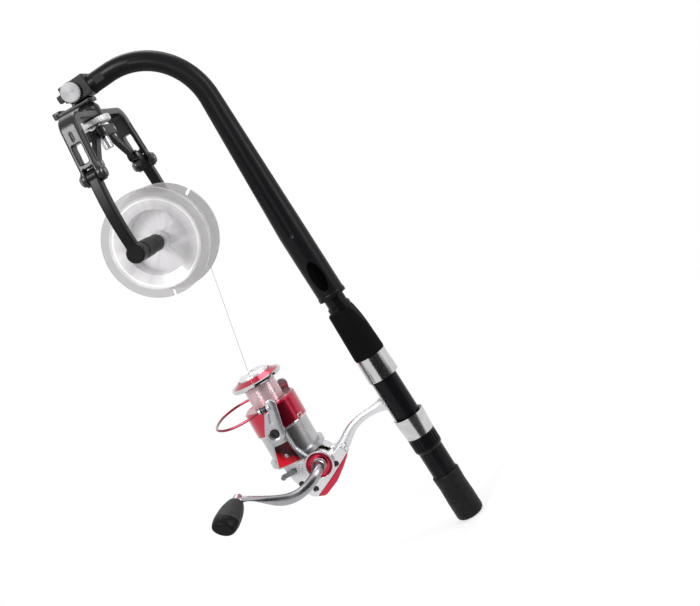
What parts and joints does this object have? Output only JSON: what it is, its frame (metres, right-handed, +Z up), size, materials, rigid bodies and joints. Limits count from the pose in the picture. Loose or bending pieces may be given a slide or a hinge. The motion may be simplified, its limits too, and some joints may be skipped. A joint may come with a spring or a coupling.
{
  "type": "fishing line winder",
  "caption": "Hand-held fishing line winder: tubular handle with a reel seat and spinning reel, curved arm, tilting swivel yoke and a line spool held between screw-set cones.",
  "frame": {"origin": "centre of the handle's butt end face", "axes": "+Z up the handle's axis towards the curved arm; the arm's head, the line spool and the reel are on the -X side; the reel's crank is on the -Y side"},
  "size_m": [0.1852, 0.1637, 0.4927],
  "materials": {
    "black_grip": "satin",
    "tube_black": "gloss",
    "seat_black": "gloss",
    "hood_metal": "polished",
    "arm_black": "satin gloss",
    "block_black": "satin",
    "knob_metal": "knurled",
    "bolt_steel": "polished",
    "head_black": "satin",
    "pin_steel": "polished",
    "cone_black": "satin",
    "clear_spool": "clear",
    "clear_line": "wound filament",
    "reel_silver": "metallic",
    "reel_red": "metallic gloss",
    "gear_metal": "machined",
    "rotor_silver": "mirror",
    "dark_steel": "polished",
    "cover_red": "gloss",
    "crank_dark": "satin",
    "paddle_black": "matte",
    "lever_grey": "matte",
    "reel_line": "wound filament"
  },
  "bodies": {
    "handle": {"handle_tube": "tube_black", "butt_grip": "black_grip", "reel_seat": "seat_black", "front_hood": "hood_metal", "front_hood_liner": "seat_black", "fore_grip": "seat_black", "ferrule_collar": "seat_black", "reel_body": "reel_silver", "side_cover": "reel_silver", "body_screws": "dark_steel", "rear_trim": "reel_red", "fishing_line": "clear_line"},
    "sliding_hood": {"rear_hood": "hood_metal", "rear_hood_liner": "seat_black"},
    "lock_nut": {"lock_nut": "seat_black"},
    "curved_arm": {"curved_arm": "arm_black", "arm_socket": "arm_black", "head_block": "block_black", "tilt_bolt": "bolt_steel"},
    "tilt_knob": {"tilt_knob": "knob_metal"},
    "tilt_bracket": {"tilt_bracket": "block_black", "swivel_pin": "pin_steel"},
    "yoke": {"yoke": "head_black", "hub_plug": "head_black", "hinge_bolts": "bolt_steel"},
    "spindle": {"thumbwheel": "knob_metal", "screw_spindle": "pin_steel"},
    "crosshead": {"crosshead": "head_black", "crosshead_pins": "pin_steel"},
    "front_link": {"front_link": "head_black"},
    "rear_link": {"rear_link": "head_black"},
    "front_arm": {"front_arm": "head_black", "front_arm_pin": "pin_steel", "front_bearing": "cone_black"},
    "rear_arm": {"rear_arm": "head_black", "rear_arm_pin": "pin_steel", "rear_bearing": "cone_black"},
    "front_cone": {"front_cone": "cone_black", "front_cone_pin": "pin_steel"},
    "rear_cone": {"rear_cone": "cone_black", "rear_cone_pin": "pin_steel"},
    "line_spool": {"line_spool": "clear_spool", "spool_line": "clear_line"},
    "crank": {"main_gear": "gear_metal", "crank_arm": "crank_dark"},
    "crank_knob": {"crank_knob": "paddle_black"},
    "anti_reverse_lever": {"anti_reverse_lever": "lever_grey"},
    "rotor": {"rotor": "rotor_silver", "rotor_covers": "cover_red", "pinion_gear": "gear_metal", "bail_screws": "dark_steel"},
    "bail": {"bail_arm": "reel_silver", "bail_arm_rear": "reel_silver", "bail_wire": "reel_red"},
    "line_roller": {"line_roller": "dark_steel"},
    "main_shaft": {"main_shaft": "pin_steel"},
    "reel_spool": {"reel_spool": "reel_red", "spool_lip": "rotor_silver", "reel_spool_line": "reel_line"},
    "drag_knob": {"drag_knob": "knob_metal"}
  },
  "joints": [
    {"name": "hood_slide", "type": "slide", "parent": "handle", "child": "sliding_hood", "axis": [0, 0, -1], "range_m": [0, 0.02]},
    {"name": "lock_nut_turn", "type": "hinge", "parent": "sliding_hood", "child": "lock_nut", "pos_m": [0, 0, 0.078], "axis": [0, 0, -1], "range_deg": [0, 3600]},
    {"name": "arm_pull_off", "type": "slide", "parent": "handle", "child": "curved_arm", "axis": [0, 0, 1], "range_m": [0, 0.04], "deforming": ["fishing_line"]},
    {"name": "tilt_knob_turn", "type": "hinge", "parent": "curved_arm", "child": "tilt_knob", "pos_m": [-0.0908, -0.0115, 0.4835], "axis": [0, -1, 0], "range_deg": [0, 720]},
    {"name": "head_tilt", "type": "hinge", "parent": "curved_arm", "child": "tilt_bracket", "pos_m": [-0.0908, 0, 0.4835], "axis": [0, 1, 0], "range_deg": [0, 26], "deforming": ["fishing_line"]},
    {"name": "yoke_swivel", "type": "hinge", "parent": "tilt_bracket", "child": "yoke", "pos_m": [-0.08998, 0, 0.46665], "axis": [0.075, 0, 0.9972], "continuous": true, "deforming": ["fishing_line"]},
    {"name": "spindle_turn", "type": "hinge", "parent": "yoke", "child": "spindle", "pos_m": [-0.09092, 0, 0.45409], "axis": [0.075, 0, 0.9972], "range_deg": [0, 1144.8]},
    {"name": "crosshead_slide", "type": "slide", "parent": "yoke", "child": "crosshead", "axis": [-0.075, 0, -0.9972], "range_m": [0, 0.00477]},
    {"name": "front_link_pivot", "type": "hinge", "parent": "crosshead", "child": "front_link", "pos_m": [-0.09163, -0.013, 0.44472], "axis": [0.9972, 0, -0.075], "range_deg": [0, 3.25]},
    {"name": "rear_link_pivot", "type": "hinge", "parent": "crosshead", "child": "rear_link", "pos_m": [-0.09163, 0.013, 0.44472], "axis": [-0.9972, 0, 0.075], "range_deg": [0, 3.25]},
    {"name": "front_arm_hinge", "type": "hinge", "parent": "yoke", "child": "front_arm", "pos_m": [-0.09413, -0.0655, 0.41141], "axis": [-0.9972, 0, 0.075], "range_deg": [0, 18]},
    {"name": "rear_arm_hinge", "type": "hinge", "parent": "yoke", "child": "rear_arm", "pos_m": [-0.09413, 0.0655, 0.41141], "axis": [0.9972, 0, -0.075], "range_deg": [0, 18]},
    {"name": "line_spool_spin", "type": "hinge", "parent": "yoke", "child": "line_spool", "pos_m": [-0.0992, 0, 0.344], "axis": [0, 1, 0], "continuous": true, "deforming": ["fishing_line"]},
    {"name": "front_cone_spin", "type": "hinge", "parent": "front_arm", "child": "front_cone", "pos_m": [-0.0992, -0.035, 0.344], "axis": [0, 1, 0], "continuous": true},
    {"name": "rear_cone_spin", "type": "hinge", "parent": "rear_arm", "child": "rear_cone", "pos_m": [-0.0992, 0.035, 0.344], "axis": [0, 1, 0], "continuous": true},
    {"name": "crank_turn", "type": "hinge", "parent": "handle", "child": "crank", "pos_m": [-0.08735, -0.02, 0.1089], "axis": [0, 1, 0], "continuous": true, "deforming": ["fishing_line"]},
    {"name": "crank_knob_spin", "type": "hinge", "parent": "crank", "child": "crank_knob", "pos_m": [-0.15283, -0.05, 0.1266], "axis": [-0.2508, -0.9553, -0.1568], "continuous": true},
    {"name": "anti_reverse_turn", "type": "hinge", "parent": "handle", "child": "anti_reverse_lever", "pos_m": [-0.11106, -0.014, 0.11458], "axis": [0, 1, 0], "range_deg": [0, 30]},
    {"name": "rotor_spin", "type": "hinge", "parent": "handle", "child": "rotor", "pos_m": [-0.1, 0, 0.15], "axis": [0.0576, 0, 0.9983], "continuous": true, "deforming": ["fishing_line"]},
    {"name": "bail_flip", "type": "hinge", "parent": "rotor", "child": "bail", "pos_m": [-0.09967, 0, 0.15569], "axis": [0, 1, 0], "range_deg": [0, 100], "deforming": ["fishing_line"]},
    {"name": "line_roller_spin", "type": "hinge", "parent": "bail", "child": "line_roller", "pos_m": [-0.09616, -0.0302, 0.17833], "axis": [0.9983, 0, -0.0576], "continuous": true},
    {"name": "shaft_stroke", "type": "slide", "parent": "handle", "child": "main_shaft", "axis": [0.0576, 0, 0.9983], "range_m": [-0.01, 0], "deforming": ["fishing_line"]},
    {"name": "reel_spool_drag", "type": "hinge", "parent": "main_shaft", "child": "reel_spool", "pos_m": [-0.09793, 0, 0.18594], "axis": [0.0576, 0, 0.9983], "continuous": true, "deforming": ["fishing_line"]},
    {"name": "drag_knob_turn", "type": "hinge", "parent": "main_shaft", "child": "drag_knob", "pos_m": [-0.09695, 0, 0.20291], "axis": [0.0576, 0, 0.9983], "range_deg": [0, 720]}
  ],
  "couplings": [
    {"joint": "lock_nut_turn", "follows": "hood_slide", "rad_per_m": 3141.6},
    {"joint": "crosshead_slide", "follows": "spindle_turn", "m_per_rad": 0.00023873},
    {"joint": "front_link_pivot", "follows": "spindle_turn", "ratio": 0.0028389},
    {"joint": "rear_link_pivot", "follows": "spindle_turn", "ratio": 0.0028389},
    {"joint": "front_arm_hinge", "follows": "spindle_turn", "ratio": 0.015723},
    {"joint": "rear_arm_hinge", "follows": "spindle_turn", "ratio": 0.015723},
    {"joint": "front_cone_spin", "follows": "line_spool_spin", "ratio": 1},
    {"joint": "rear_cone_spin", "follows": "line_spool_spin", "ratio": 1},
    {"joint": "rotor_spin", "follows": "crank_turn", "ratio": 5.2}
  ]
}
